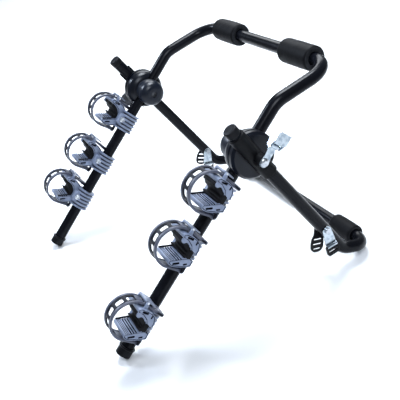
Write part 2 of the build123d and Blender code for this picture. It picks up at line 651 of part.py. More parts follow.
def ring_frame(plane):
    """Small black frame hung in a tongue's eye, with one slot for the webbing."""
    start, clear = -EYE_BAR_D / 2, EYE_R + EYE_BAR_D / 2 + 1
    length = clear + RING_BAR + RING_SLOT + RING_FOOT - start
    plate = extrude(RectangleRounded(length, RING_WIDTH, RING_CORNER), RING_WALL / 2, both=True)
    body = Pos(start + length / 2, 0, 0) * plate
    body -= Pos(start - 1, 0, 0) * Box(clear - start + 1, TONGUE_WIDTH + 1, RING_WALL * 2,
                                       align=(Align.MIN, Align.CENTER, Align.CENTER))
    body -= Pos(clear + RING_BAR, 0, 0) * Box(RING_SLOT, RING_SLOT_WIDTH, RING_WALL * 2,
                                              align=(Align.MIN, Align.CENTER, Align.CENTER))
    return plane * (Pos(TONGUE_LENGTH, 0, EYE_R) * body + eye_bar(TONGUE_LENGTH, TONGUE_WIDTH + 2))


def slotted_plate(plane, tab):
    """Black plate hung straight on the leg's bolt, with a row of slots for the webbing."""
    start = tab - PLATE_SLOT / 2 - PLATE_EDGE
    end = tab + PLATE_PITCH * (PLATE_SLOTS - 1) + PLATE_SLOT / 2 + PLATE_EDGE
    body = Pos((start + end) / 2, 0, 0) * RectangleRounded(end - start, PLATE_WIDTH, PLATE_CORNER)
    neck = Rectangle(tab, PLATE_TAB_D, align=(Align.MIN, Align.CENTER))
    body = body + neck + Circle(PLATE_TAB_D / 2)
    body -= Circle(BUCKLE_BOLT_D / 2 + COLLAR_CLEARANCE)
    for i in range(PLATE_SLOTS):
        body -= Pos(tab + PLATE_PITCH * i, 0, 0) * Rectangle(PLATE_SLOT, PLATE_SLOT_WIDTH)
    return plane * extrude(body, PLATE_WALL)


def cam_frame(plane):
    """Zinc channel of a cam buckle: two cheeks, a floor for the webbing, and the bar in the tongue's eye."""
    bar, pin = (0, EYE_R), (CAM_PIN_ALONG, CAM_PIN_RISE)
    low = RUN_GAP * 2
    far_top = CAM_PIN_RISE + CHEEK_D / 2 - 3
    heel = Polyline((EYE_R, low), (CAM_LENGTH, low), (CAM_LENGTH, far_top), close=True)
    outline = make_hull([Pos(*bar) * Circle(EYE_R).edge(), Pos(*pin) * Circle(CHEEK_D / 2).edge()] + heel.edges())
    cheek = extrude(Plane.XZ * outline, CAM_WALL)
    outer = CAM_INNER_WIDTH / 2 + CAM_WALL
    body = Pos(0, outer, 0) * cheek + Pos(0, -CAM_INNER_WIDTH / 2, 0) * cheek
    floor_start = EYE_R * 2
    body += Pos(floor_start, 0, low) * Box(CAM_LENGTH - floor_start, outer * 2, CAM_WALL,
                                           align=(Align.MIN, Align.CENTER, Align.MIN))
    pin_rod = Pos(pin[0], 0, pin[1]) * Rot(90, 0, 0) * Cylinder(CAM_PIN_D / 2, outer * 2)
    return plane * (Pos(HUB_TONGUE_LENGTH, 0, 0) * (body + pin_rod) + eye_bar(HUB_TONGUE_LENGTH, outer * 2))


def cam_lever(plane):
    """Lever of a cam buckle: a toothed cam between the cheeks under a thumb plate with a turned-up lip."""
    width = CAM_INNER_WIDTH + 2 * CAM_WALL
    barrel = Rot(90, 0, 0) * Cylinder(CAM_D / 2, CAM_INNER_WIDTH - 2 * LEVER_GAP)
    seat = CHEEK_D / 2 + LEVER_GAP
    reach = CAM_LENGTH - CAM_PIN_ALONG + 1
    thumb = Box(reach + 2, width, LEVER_WALL, align=(Align.MIN, Align.CENTER, Align.MIN))
    lip = Box(LEVER_WALL, width, LEVER_LIP + LEVER_WALL, align=(Align.MIN, Align.CENTER, Align.MIN))
    web = Box(CAM_D * 0.7, CAM_INNER_WIDTH - 2 * LEVER_GAP, seat + LEVER_WALL / 2,
              align=(Align.CENTER, Align.CENTER, Align.MIN))
    body = barrel + web + Pos(-2, 0, seat) * thumb + Pos(reach, 0, seat) * lip
    body -= Rot(90, 0, 0) * Cylinder(CAM_PIN_D / 2 + COLLAR_CLEARANCE, width * 2)
    return plane * Pos(HUB_TONGUE_LENGTH + CAM_PIN_ALONG, 0, CAM_PIN_RISE) * body


def buckle_plane(station, depth, swing, facing):
    """Plane of one buckle's tongue on the left leg, at a depth outboard of the leg's centre."""
    base = leg_plane(station).offset(depth)
    turn = math.radians(swing)
    x_dir = base.x_dir * math.cos(turn) + base.y_dir * math.sin(turn)
    return Plane(origin=base.origin, x_dir=x_dir, z_dir=OUT * facing)


def buckle_bolt(station, outer_wall, inner_wall):
    """Bolt and nut through the left leg, carrying a buckle on each side of the tube."""
    plane = leg_plane(station)
    outer, inner = TUBE_R + outer_wall + RUN_GAP, -TUBE_R - inner_wall - RUN_GAP
    bolt = post(plane, BUCKLE_BOLT_D / 2, inner - BUCKLE_HEAD, outer)
    bolt += post(plane, BUCKLE_HEAD_D / 2, outer, outer + BUCKLE_HEAD)
    nut = extrude(RegularPolygon(BUCKLE_HEAD_D / 2, 6) - Circle(BUCKLE_BOLT_D / 2), BUCKLE_HEAD)
    return [bolt, plane * Pos(0, 0, inner - BUCKLE_HEAD) * nut]


OUTER_DEPTH = TUBE_R + RUN_GAP / 2
INNER_DEPTH = -TUBE_R - RUN_GAP / 2
HUB_DEPTH = BOSS_TOP - LEG_OFFSET + RUN_GAP / 2


def buckles():
    """Pieces of every buckle by node name, on the side where each hangs."""
    left, right = LEFT_BUCKLE_STATION, RIGHT_BUCKLE_STATION
    pieces = {}
    for side, swing in (("left", SWING_HUB_LEFT), ("right", SWING_HUB_RIGHT)):
        plane = buckle_plane(0, HUB_DEPTH, swing, 1)
        pieces[f"buckle_hub_{side}_tongue"] = tongue(plane, HUB_BOLT_D, HUB_TONGUE_LENGTH, HUB_TONGUE_WIDTH)
        pieces[f"buckle_hub_{side}_frame"] = cam_frame(plane)
        pieces[f"buckle_hub_{side}_lever"] = cam_lever(plane)
    for name, plane in (("inner_left", buckle_plane(left, INNER_DEPTH, SWING_INNER_LEFT, -1)),
                        ("outer_right", buckle_plane(right, OUTER_DEPTH, SWING_OUTER_RIGHT, 1))):
        pieces[f"buckle_{name}_tongue"] = tongue(plane, BUCKLE_BOLT_D, TONGUE_LENGTH, TONGUE_WIDTH)
        pieces[f"buckle_{name}_frame"] = ring_frame(plane)
    plane = buckle_plane(left, OUTER_DEPTH, SWING_OUTER_LEFT, 1)
    pieces["buckle_outer_left_plate"] = slotted_plate(plane, LEFT_PLATE_TAB)
    plane = buckle_plane(right, INNER_DEPTH, SWING_INNER_RIGHT, -1)
    pieces["buckle_inner_right_plate"] = slotted_plate(plane, RIGHT_PLATE_TAB)
    return {name: other(piece) if "_right_" in name else piece for name, piece in pieces.items()}


def cradle_places():
    """Name, side and plane of every cradle."""
    places = []
    for number, station in enumerate(LEFT_STATIONS, 1):
        places.append((f"left_{number}", -1, arm_plane(station)))
    for number, station in enumerate(RIGHT_STATIONS, 1):
        places.append((f"right_{number}", 1, arm_plane(station)))
    return places


def build():
    """Every node of the carrier, with the hub axis over the origin."""
    nodes = {"carrying_frame": carrying_frame(), "lower_frame": lower_frame()}
    cap = end_cap(arm_plane(ARM_LENGTH), ARM_CAP_D, ARM_CAP_LENGTH)
    nodes["arm_end_caps"] = Compound([cap, other(cap)])
    left_stub, right_stub = (leg_plane(-length) for length in (LEFT_STUB, RIGHT_STUB))
    left_cap, right_cap = (end_cap(Plane(origin=stub.origin, x_dir=-stub.x_dir, z_dir=OUT), STUB_CAP_D,
                                   STUB_CAP_LENGTH) for stub in (left_stub, right_stub))
    nodes["stub_end_caps"] = Compound([left_cap, other(right_cap)])
    upper = HUB - ARM_DIR * RISE_LENGTH + INCLINE_DIR * INCLINE_LENGTH
    lower = LEG_HUB + LEG_DIR * LEG_LENGTH + KICK_DIR * KICK_LENGTH
    foam = sleeve(upper, UPPER_SLEEVE_D, UPPER_SLEEVE_LENGTH, CROSS_RADIUS, ARM_SPACING / 2)
    nodes["upper_sleeve_left"], nodes["upper_sleeve_right"] = foam, other(foam)
    foam = sleeve(lower, LOWER_SLEEVE_D, LOWER_SLEEVE_LENGTH, LOW_RADIUS, ARM_SPACING / 2 + LEG_OFFSET)
    nodes["lower_sleeve_left"], nodes["lower_sleeve_right"] = foam, other(foam)
    for name, part in (("hub_shell", hub_shell()), ("hub_disc", hub_disc()), ("leg_cover", leg_cover()),
                       ("hub_clamp", hub_clamp())):
        nodes[name + "_left"], nodes[name + "_right"] = part, other(part)
    hardware = hub_hardware()
    nodes["hub_hardware"] = Compound(hardware + [other(piece) for piece in hardware])
    left_bolt = buckle_bolt(LEFT_BUCKLE_STATION, PLATE_WALL, TONGUE_WALL)
    right_bolt = buckle_bolt(RIGHT_BUCKLE_STATION, TONGUE_WALL, PLATE_WALL)
    nodes["buckle_bolts"] = Compound(left_bolt + [other(piece) for piece in right_bolt])
    for name, side, plane in cradle_places():
        pieces = {"jaw": jaw(plane), "liner": liner(plane), "strap": strap(plane), "latch": latch(plane),
                  "fixings": Compound(cradle_fixings(plane))}
        for piece, part in pieces.items():
            nodes[f"cradle_{name}_{piece}"] = part if side < 0 else other(part)
    nodes.update(buckles())
    return nodes


NODES = build()
BOX = Compound(list(NODES.values())).bounding_box()
SHIFT = Vector(-BOX.center().X, -BOX.center().Y, -BOX.min.Z)

os.makedirs("parts", exist_ok=True)
for node_name, node in NODES.items():
    export_step(Pos(SHIFT) * node, f"parts/{node_name}.step")
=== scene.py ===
import math

import bmesh
import bpy
from mathutils import Matrix, Vector


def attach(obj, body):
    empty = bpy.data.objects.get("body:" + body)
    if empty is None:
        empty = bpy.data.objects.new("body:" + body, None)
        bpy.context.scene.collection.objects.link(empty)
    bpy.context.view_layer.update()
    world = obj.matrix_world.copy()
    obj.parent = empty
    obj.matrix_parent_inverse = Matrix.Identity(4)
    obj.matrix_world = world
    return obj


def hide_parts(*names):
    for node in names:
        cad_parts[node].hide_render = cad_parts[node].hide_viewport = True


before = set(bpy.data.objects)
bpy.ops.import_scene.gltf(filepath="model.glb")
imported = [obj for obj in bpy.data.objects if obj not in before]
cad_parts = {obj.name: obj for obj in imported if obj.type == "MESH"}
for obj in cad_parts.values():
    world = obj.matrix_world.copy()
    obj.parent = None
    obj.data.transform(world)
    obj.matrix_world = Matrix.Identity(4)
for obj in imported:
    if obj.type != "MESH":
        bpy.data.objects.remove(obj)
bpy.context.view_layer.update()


# Carrying frame: one 28 mm steel tube bent to arm, rise, incline and upper crossbar and back down again.
# It is powder coated in gloss black after bending. The arms carry the cradles.
MM = 0.001
TUBE_RADIUS = 14.0
HUB = Vector((-276.0, 54.3682, 340.8710))
ARM = Vector((0, -0.7372166, -0.6756565))
INCLINE = Vector((0, 0.9755148, 0.2199339))
ARM_LENGTH, RISE, SLOPE = 485.0, 113.0, 142.0
UPPER_BENDS = (60.0, 58.0, 58.0, 60.0)


def finish(name, colour, roughness, metallic=0.0, tint=None, tint_scale=40.0, uneven=0.06,
           bump=0.1, bump_scale=900.0, bump_depth=0.0002, gloss=0.5):
    """Procedural finish on Object coordinates: slow colour drift, uneven roughness and a fine bump."""
    material = bpy.data.materials.new(name)
    material.use_nodes = True
    nodes, links = material.node_tree.nodes, material.node_tree.links
    shader = nodes["Principled BSDF"]
    shader.inputs["Metallic"].default_value = metallic
    shader.inputs["Specular IOR Level"].default_value = gloss
    place = nodes.new("ShaderNodeTexCoord")
    slow = nodes.new("ShaderNodeTexNoise")
    slow.inputs["Scale"].default_value = tint_scale
    slow.inputs["Detail"].default_value = 4.0
    links.new(place.outputs["Object"], slow.inputs["Vector"])
    ramp = nodes.new("ShaderNodeValToRGB")
    ramp.color_ramp.elements[0].position = 0.35
    ramp.color_ramp.elements[1].position = 0.68
    ramp.color_ramp.elements[0].color = (*colour, 1)
    ramp.color_ramp.elements[1].color = (*(tint or [c * 1.25 for c in colour]), 1)
    links.new(slow.outputs["Fac"], ramp.inputs["Fac"])
    links.new(ramp.outputs["Color"], shader.inputs["Base Color"])
    spread = nodes.new("ShaderNodeMapRange")
    spread.inputs["To Min"].default_value = max(0.02, roughness - uneven)
    spread.inputs["To Max"].default_value = min(1.0, roughness + uneven)
    smudge = nodes.new("ShaderNodeTexNoise")
    smudge.inputs["Scale"].default_value = tint_scale * 2.7
    smudge.inputs["Detail"].default_value = 6.0
    links.new(place.outputs["Object"], smudge.inputs["Vector"])
    links.new(smudge.outputs["Fac"], spread.inputs["Value"])
    links.new(spread.outputs["Result"], shader.inputs["Roughness"])
    grain = nodes.new("ShaderNodeTexNoise")
    grain.inputs["Scale"].default_value = bump_scale
    grain.inputs["Detail"].default_value = 3.0
    links.new(place.outputs["Object"], grain.inputs["Vector"])
    relief = nodes.new("ShaderNodeBump")
    relief.inputs["Strength"].default_value = bump
    relief.inputs["Distance"].default_value = bump_depth
    links.new(grain.outputs["Fac"], relief.inputs["Height"])
    links.new(relief.outputs["Normal"], shader.inputs["Normal"])
    return material


def piece(name, bm, materials, body, nodes, smooth=40.0):
    """A finished object from a mesh in millimetres, riding on a body and standing for CAD nodes."""
    bm.transform(Matrix.Scale(MM, 4))
    mesh = bpy.data.meshes.new(name)
    bm.to_mesh(mesh)
    bm.free()
    for material in materials:
        mesh.materials.append(material)
    mesh.shade_smooth()
    mesh.set_sharp_from_angle(angle=math.radians(smooth))
    made = bpy.data.objects.new(name, mesh)
    bpy.context.scene.collection.objects.link(made)
    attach(made, body)
    if nodes:
        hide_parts(*nodes)
    return made


def points_of(grown):
    """The vertices among what an extrusion has made."""
    return [g for g in grown if isinstance(g, bmesh.types.BMVert)]


def run_of_tube(bm, points, radii, radius=TUBE_RADIUS, around=48):
    """Sweeps a ring along straight runs and spins it round each bend, as the tube is bent."""
    heading = (points[1] - points[0]).normalized()
    turn = heading.to_track_quat("Z", "X").to_matrix().to_4x4()
    ring = bmesh.ops.create_circle(bm, cap_ends=False, segments=around, radius=radius,
                                   matrix=Matrix.Translation(points[0]) @ turn)
    edges = list({e for v in ring["verts"] for e in v.link_edges})
    here = points[0].copy()
    for before, corner, after, bend in zip(points, points[1:], points[2:], radii):
        come, go = (corner - before).normalized(), (after - corner).normalized()
        angle = come.angle(go)
        axis = come.cross(go).normalized()
        start = corner - come * bend * math.tan(angle / 2)
        grown = bmesh.ops.extrude_edge_only(bm, edges=edges)["geom"]
        bmesh.ops.translate(bm, vec=start - here, verts=points_of(grown))
        edges = [g for g in grown if isinstance(g, bmesh.types.BMEdge)]
        edges = [e for e in edges if len(e.link_faces) == 1]
        centre = start + axis.cross(come) * bend
        spun = bmesh.ops.spin(bm, geom=edges, cent=centre, axis=axis, dvec=(0, 0, 0), angle=angle,
                              steps=max(6, round(math.degrees(angle) / 4)), use_merge=False)
        edges = [g for g in spun["geom_last"] if isinstance(g, bmesh.types.BMEdge)]
        here = corner + go * bend * math.tan(angle / 2)
    grown = bmesh.ops.extrude_edge_only(bm, edges=edges)["geom"]
    bmesh.ops.translate(bm, vec=points[-1] - here, verts=points_of(grown))
    bmesh.ops.holes_fill(bm, edges=[e for e in bm.edges if e.is_boundary], sides=0)
    bmesh.ops.recalc_face_normals(bm, faces=bm.faces)


def mirrored(points):
    """The points of the left side followed by the same points on the right."""
    return points + [Vector((-p.x, p.y, p.z)) for p in reversed(points)]


paint = finish("gloss_black_paint", (0.0030, 0.0034, 0.0050), 0.24, tint=(0.0045, 0.0052, 0.0080),
               tint_scale=9.0, uneven=0.05, bump=0.12, bump_scale=420.0, gloss=0.10)
knee = HUB - ARM * RISE
bm = bmesh.new()
run_of_tube(bm, mirrored([HUB + ARM * ARM_LENGTH, knee, knee + INCLINE * SLOPE]), UPPER_BENDS)
piece("carrying_tube", bm, [paint], "carrying_frame", ["carrying_frame"])


# Lower frame: the second bent tube, crossing outboard of the first at both hubs. Its short stubs, the left
# one longer, stand up above the hubs, and its kicked ends carry the lower crossbar. Same gloss black tube.
LEG = Vector((0, 0.5000779, -0.8659804))
KICK = Vector((0, 0.9612865, -0.2755509))
LEG_HUB = HUB - Vector((36.0, 0, 0))
LEFT_STUB, RIGHT_STUB = 104.0, 83.0
LEG_LENGTH, KICK_LENGTH = 343.0, 72.0
LOWER_BENDS = (45.0, 42.0, 42.0, 45.0)

bm = bmesh.new()
knee = LEG_HUB + LEG * LEG_LENGTH
run = mirrored([LEG_HUB - LEG * LEFT_STUB, knee, knee + KICK * KICK_LENGTH])
run[-1] += LEG * (LEFT_STUB - RIGHT_STUB)
run_of_tube(bm, run, LOWER_BENDS)
piece("lower_tube", bm, [paint], "lower_frame", ["lower_frame"])


# End caps: moulded plastic caps pushed over the four open tube ends, each with a slightly domed end. Those
# on the arms have a thicker rim at the mouth. Satin black polyethylene.
def turned(bm, profile, matrix, rounding=0.8, steps=56, material=0, segments=3):
    """Spins radius and depth pairs round a matrix's z axis, with the profile's corners rounded first."""
    work = bmesh.new()
    verts = [work.verts.new((r, 0, z)) for r, z in profile]
    for pair in zip(verts, verts[1:]):
        work.edges.new(pair)
    if rounding:
        inner = [v for v in verts[1:-1] if v.co.x > 0.01]
        bmesh.ops.bevel(work, geom=inner, offset=rounding, affect="VERTICES", segments=segments,
                        profile=0.5, material=-1, offset_type="OFFSET", clamp_overlap=True)
    bmesh.ops.spin(work, geom=work.verts[:] + work.edges[:], cent=(0, 0, 0), axis=(0, 0, 1),
                   dvec=(0, 0, 0), angle=math.tau, steps=steps, use_merge=True)
    bmesh.ops.remove_doubles(work, verts=work.verts, dist=0.0005)
    bmesh.ops.holes_fill(work, edges=[e for e in work.edges if e.is_boundary], sides=0)
    add(bm, work, matrix, material)


def add(bm, work, matrix, material=0):
    """Puts a finished solid into a piece's mesh, at a matrix's place, faces outwards, in one finish."""
    work.transform(matrix)
    bmesh.ops.recalc_face_normals(work, faces=work.faces)
    for face in work.faces:
        face.material_index = material
    join(bm, work)


def join(bm, work):
    """Puts a solid into a piece's mesh as it is, with the finishes that its faces have."""
    held = bpy.data.meshes.new("held")
    work.to_mesh(held)
    work.free()
    bm.from_mesh(held)
    bpy.data.meshes.remove(held)


def axes(origin, along, up, out):
    """Matrix whose x, y and z columns are the three given directions."""
    turn = Matrix((along, up, out)).transposed().to_4x4()
    return Matrix.Translation(origin) @ turn


ARM_UP = Vector((0, -0.6756565, 0.7372166))
LEG_UP = Vector((0, -0.8659804, -0.5000779))


def arm_at(side, station):
    """Place on an arm's line: x down the arm, y out of the fold, z outboard. Side is -1 left, 1 right."""
    centre = HUB + ARM * station
    return axes(Vector((-side * centre.x, centre.y, centre.z)), ARM, ARM_UP, Vector((side, 0, 0)))


def leg_at(side, station):
    """Place on a leg's centre line, with its axes as on the arm."""
    centre = LEG_HUB + LEG * station
    return axes(Vector((-side * centre.x, centre.y, centre.z)), LEG, LEG_UP, Vector((side, 0, 0)))


ALONG_X = Matrix.Rotation(math.radians(90), 4, "Y")
UPWARDS = Matrix.Rotation(math.radians(-90), 4, "Y")
CAP_BORE, CAP_FLOOR = 14.02, 3.0
satin = finish("satin_black_caps", (0.0045, 0.0048, 0.0060), 0.40, tint=(0.0075, 0.0080, 0.0100),
               tint_scale=60.0, bump=0.25, bump_scale=1500.0, bump_depth=0.0001, gloss=0.10)
bm = bmesh.new()
for side in (-1, 1):
    turned(bm, [(0, 0), (10, 0), (14.8, -0.6), (16.5, -2.2), (16.5, -18.2), (18, -19), (18, -22),
                (CAP_BORE, -22), (CAP_BORE, -CAP_FLOOR), (0, -CAP_FLOOR)],
           arm_at(side, ARM_LENGTH + CAP_FLOOR) @ ALONG_X)
piece("arm_caps", bm, [satin], "carrying_frame", ["arm_end_caps"])
bm = bmesh.new()
for side, stub in ((-1, LEFT_STUB), (1, RIGHT_STUB)):
    turned(bm, [(0, -0.6), (8.5, 0), (12.9, -0.4), (14.6, -1.8), (14.6, -15.4), (14.3, -16),
                (CAP_BORE, -16), (CAP_BORE, -CAP_FLOOR), (0, -CAP_FLOOR)],
           leg_at(side, -stub - CAP_FLOOR) @ UPWARDS)
piece("stub_caps", bm, [satin], "lower_frame", ["stub_end_caps"])


# Foam sleeves: four lengths of closed-cell foam tube slid over the crossbars, so that the carrier rests
# softly on the car. The skin is matt black and slightly uneven, and the cut ends show paler open cells.
foam = finish("black_foam_skin", (0.0022, 0.0024, 0.0032), 0.55, tint=(0.0045, 0.0048, 0.0062),
              tint_scale=22.0, uneven=0.08, bump=0.5, bump_scale=750.0, bump_depth=0.0005, gloss=0.07)
cut_foam = finish("cut_foam_end", (0.010, 0.011, 0.013), 0.85, tint=(0.020, 0.021, 0.025), tint_scale=160.0,
                  bump=0.8, bump_scale=1300.0, bump_depth=0.0006, gloss=0.2)
UPPER_BAR = (276.1968, 448.4508)
LOWER_BAR = (295.1075, 24.0)
SLEEVE_BORE = 14.05
END_FACING = 0.72
for name, (y, z), start, length, radius, body in (
        ("upper_sleeve", UPPER_BAR, 104.0, 112.0, 28.5, "carrying_frame"),
        ("lower_sleeve", LOWER_BAR, 188.0, 80.0, 24.0, "lower_frame")):
    for side, word in ((-1, "left"), (1, "right")):
        bm = bmesh.new()
        mid, half = side * (start + length / 2), length / 2
        rows = [(SLEEVE_BORE, -half + 2.5), (radius - 7, -half + 0.4), (radius - 3.4, -half + 0.6),
                (radius - 0.9, -half + 4.5)]
        rows += [(radius - 0.55 + 0.5 * math.cos(t * math.pi / 16), t * (half - 9) / 8)
                 for t in range(-8, 9)]
        rows += [(r, -x) for r, x in reversed(rows[:4])]
        turned(bm, rows + [(SLEEVE_BORE, -half + 2.5)], Matrix.Translation((mid, y, z)) @ ALONG_X,
               rounding=1.6)
        for face in bm.faces:
            if abs(face.normal.x) > END_FACING:
                face.material_index = 1
        bmesh.ops.subdivide_edges(bm, edges=bm.edges, cuts=1, use_grid_fill=True)
        sleeve = piece(f"{name}_{word}_foam", bm, [foam, cut_foam], body, [f"{name}_{word}"],
                       smooth=60)
        swell = bpy.data.textures.new(f"{name}_{word}_swell", "CLOUDS")
        swell.noise_scale = 0.035
        dent = sleeve.modifiers.new("uneven", "DISPLACE")
        dent.texture = swell
        dent.strength = 0.0012
        dent.mid_level = 1.0


# Hubs, one each side: a large moulded dome on the arm's tube and a small one that clamps the tube against
# it from inboard. The dome has a channel for the tube, and the clamp a mouth with the bolt's nut in it.
hub_plastic = finish("hub_moulding", (0.0020, 0.0030, 0.0060), 0.30, tint=(0.0034, 0.0050, 0.0100),
                     tint_scale=30.0, uneven=0.05, bump=0.22, bump_scale=1100.0, bump_depth=0.00012,
                     gloss=0.22)
clamp_plastic = finish("clamp_moulding", (0.0034, 0.0056, 0.0115), 0.33, tint=(0.0052, 0.0082, 0.0160),
                       tint_scale=30.0, uneven=0.05, bump=0.22, bump_scale=1100.0, bump_depth=0.00012,
                       gloss=0.26)
steel = finish("zinc_plated_steel", (0.36, 0.39, 0.43), 0.28, metallic=1.0, tint=(0.60, 0.62, 0.65),
               tint_scale=120.0, uneven=0.10, bump=0.2, bump_scale=1600.0, bump_depth=0.00008)


def carve(work, cutter):
    """Cuts one closed solid out of another."""
    held = []
    for part in (work, cutter):
        mesh = bpy.data.meshes.new("held")
        part.to_mesh(mesh)
        part.free()
        held.append(bpy.data.objects.new("held", mesh))
        bpy.context.scene.collection.objects.link(held[-1])
    cut = held[0].modifiers.new("cut", "BOOLEAN")
    cut.operation = "DIFFERENCE"
    cut.solver = "EXACT"
    cut.object = held[1]
    left = bmesh.new()
    left.from_object(held[0], bpy.context.evaluated_depsgraph_get())
    for part in held:
        mesh = part.data
        bpy.data.objects.remove(part)
        bpy.data.meshes.remove(mesh)
    return left


CHANNEL_RADIUS, CHANNEL_LENGTH, CHANNEL_DEPTH = 15.6, 140, 30
MOUTH_SHADE_RADIUS, MOUTH_SHADE_EDGE = 9.95, -62.9
for side, word in ((-1, "left"), (1, "right")):
    hub = arm_at(side, 0)
    dome, channel, groove = bmesh.new(), bmesh.new(), bmesh.new()
    turned(dome, [(0, -16), (18, -15.8), (28, -14.7), (36, -12.2), (42.4, -7.8), (46.6, -1.8), (48.7, 5.2),
                  (49, 9.5), (49, 14.6), (47.4, 16.4), (0, 16.4)],
           Matrix.Identity(4), rounding=2.4, steps=96, segments=4)
    bmesh.ops.create_cone(channel, cap_ends=True, segments=48, radius1=CHANNEL_RADIUS,
                          radius2=CHANNEL_RADIUS, depth=CHANNEL_LENGTH, matrix=ALONG_X)
    size = Matrix.Diagonal((CHANNEL_LENGTH, CHANNEL_RADIUS * 2, CHANNEL_DEPTH, 1))
    bmesh.ops.create_cube(groove, size=1, matrix=Matrix.Translation((0, 0, -CHANNEL_DEPTH / 2)) @ size)
    dome = carve(carve(dome, channel), groove)
    bm = bmesh.new()
    add(bm, dome, hub)
    piece(f"hub_dome_{word}", bm, [hub_plastic], "carrying_frame",
          [f"hub_shell_{word}"], smooth=32)
    bm = bmesh.new()
    turned(bm, [(0, -16), (31, -16), (32.8, -24), (33, -34), (32.7, -45), (31.0, -52), (27.2, -58),
                (21.6, -61.8),
                (15.4, -63), (7.6, -63), (6.9, -62.6), (6.9, -62.1), (9.9, -62.1), (9.9, -51), (0, -51)], hub,
           rounding=0.4, steps=80, segments=2)
    # Painted shade: the faces inside the clamp's mouth take the black cap finish.
    for face in bm.faces:
        away = hub.inverted() @ face.calc_center_median()
        if math.hypot(away.x, away.y) < MOUTH_SHADE_RADIUS and away.z > MOUTH_SHADE_EDGE:
            face.material_index = 1
    piece(f"hub_clamp_dome_{word}", bm, [clamp_plastic, satin], "carrying_frame",
          [f"hub_clamp_{word}"], smooth=32)


# Hub discs, leg covers and hub bolts. The toothed discs and long covers are moulded black plastic, and their
# solids are kept. The bolt runs through from a domed zinc head outboard to a nut inboard. The nut, its washer
# and the bolt's end down in the clamp's mouth are in dark steel, a painted shade.
def dress(node, material):
    """Gives a CAD solid that is right as it is a better finish."""
    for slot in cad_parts[node].material_slots:
        slot.material = material


cover_plastic = finish("cover_moulding", (0.0036, 0.0038, 0.0045), 0.42, tint=(0.0062, 0.0066, 0.0078),
                       tint_scale=34.0, uneven=0.06, bump=0.25, bump_scale=1200.0, bump_depth=0.00012,
                       gloss=0.08)
for word in ("left", "right"):
    dress(f"hub_disc_{word}", hub_plastic)
    dress(f"leg_cover_{word}", cover_plastic)
dress("buckle_bolts", steel)
# Dark steel: painted shade on the bolt's end, nut and washer in the clamp's mouth and on the left hub
# buckle's frame and lever. The disc spring is in it too.
dark_steel_and_painted_shade = finish("dark_steel_painted_shade", (0.045, 0.047, 0.052), 0.30, metallic=1.0, tint=(0.075, 0.078, 0.085),
                     tint_scale=120.0, uneven=0.10, bump=0.2, bump_scale=1600.0, bump_depth=0.00008)
NUT_BORE = 5.1
bolts = bmesh.new()
for side in (-1, 1):
    hub = arm_at(side, 0)
    # Painted shade: the last of the shank, down in the clamp's mouth, is in the dark steel.
    shade_dark_bolt_end = [(0, -58), (4.4, -58), (5, -57.4), (5, -52), (0, -52)]
    turned(bolts, shade_dark_bolt_end, hub, rounding=0.4, steps=48, material=1)
    shank_and_head = [(0, -52), (5, -52), (5, 72.6), (9, 72.6), (9, 73.8), (7.6, 75.4), (4.6, 76.4),
                      (0, 76.6)]
    turned(bolts, shank_and_head, hub, rounding=0.4, steps=48)
    washer = [(NUT_BORE, -52.5), (8.2, -52.5), (8.2, -51.0), (NUT_BORE, -51.0), (NUT_BORE, -52.5)]
    turned(bolts, washer, hub, rounding=0.2, steps=48, material=1)
    disc_spring = [(6.2, 16.4), (7.2, 16.4), (14.0, 18.1), (14.0, 19.3), (12.8, 19.3), (6.2, 17.6),
                   (6.2, 16.4)]
    turned(bolts, disc_spring, hub, rounding=0.2, steps=48, material=1)
    hexagon, bore = bmesh.new(), bmesh.new()
    turned(hexagon, [(0, -60.5), (7.2, -60.5), (8.5, -59.7), (8.5, -53.3), (7.2, -52.5), (0, -52.5)],
           Matrix.Identity(4), rounding=0, steps=6)
    bmesh.ops.create_cone(bore, cap_ends=True, segments=48, radius1=NUT_BORE, radius2=NUT_BORE, depth=300)
    add(bolts, carve(hexagon, bore), hub, material=1)
piece("hub_bolts", bolts, [steel, dark_steel_and_painted_shade], "carrying_frame", ["hub_hardware"],
      smooth=32)


# Cradle mouldings, three on each arm: a split collar clamped round the tube, with an upright jaw and a
# slanting one that the bicycle's top tube lies between. Grey-blue nylon, injection moulded with ridges
# round the collar, a groove inside the edge of each end, slots, and gripping grooves on the slanting jaw.
jaw_plastic = finish("grey_nylon", (0.150, 0.185, 0.275), 0.36, tint=(0.205, 0.245, 0.345), tint_scale=55.0,
                     uneven=0.07, bump=0.3, bump_scale=1400.0, bump_depth=0.00012, gloss=0.5)
# Painted shade: the near-black third finish on the faces between the collar's ridges.
valley_painted_shade = finish("valley_painted_shade", (0.020, 0.024, 0.036), 0.42, tint=(0.045, 0.054, 0.078), tint_scale=110.0,
                     bump=0.3, bump_scale=1400.0, bump_depth=0.00012, gloss=0.35)
# Painted shade: the second, near-black finish on the cut walls of the slots and grooves and on the far rim.
# The peg's ears are in it too.
dark_nylon_and_painted_shade = finish("dark_nylon_and_painted_shade", (0.0070, 0.0080, 0.0120), 0.55, tint=(0.0110, 0.0125, 0.0180),
                    tint_scale=55.0, bump=0.3, bump_scale=1400.0, bump_depth=0.00012, gloss=0.1)


def soften(bm, width, angle=32.0, segments=2):
    """Rounds every edge that is sharper than an angle."""
    sharp = [e for e in bm.edges if len(e.link_faces) == 2 and e.calc_face_angle(0) > math.radians(angle)]
    bmesh.ops.bevel(bm, geom=sharp, offset=width, affect="EDGES", segments=segments, profile=0.5,
                    material=-1, offset_type="OFFSET", clamp_overlap=True)


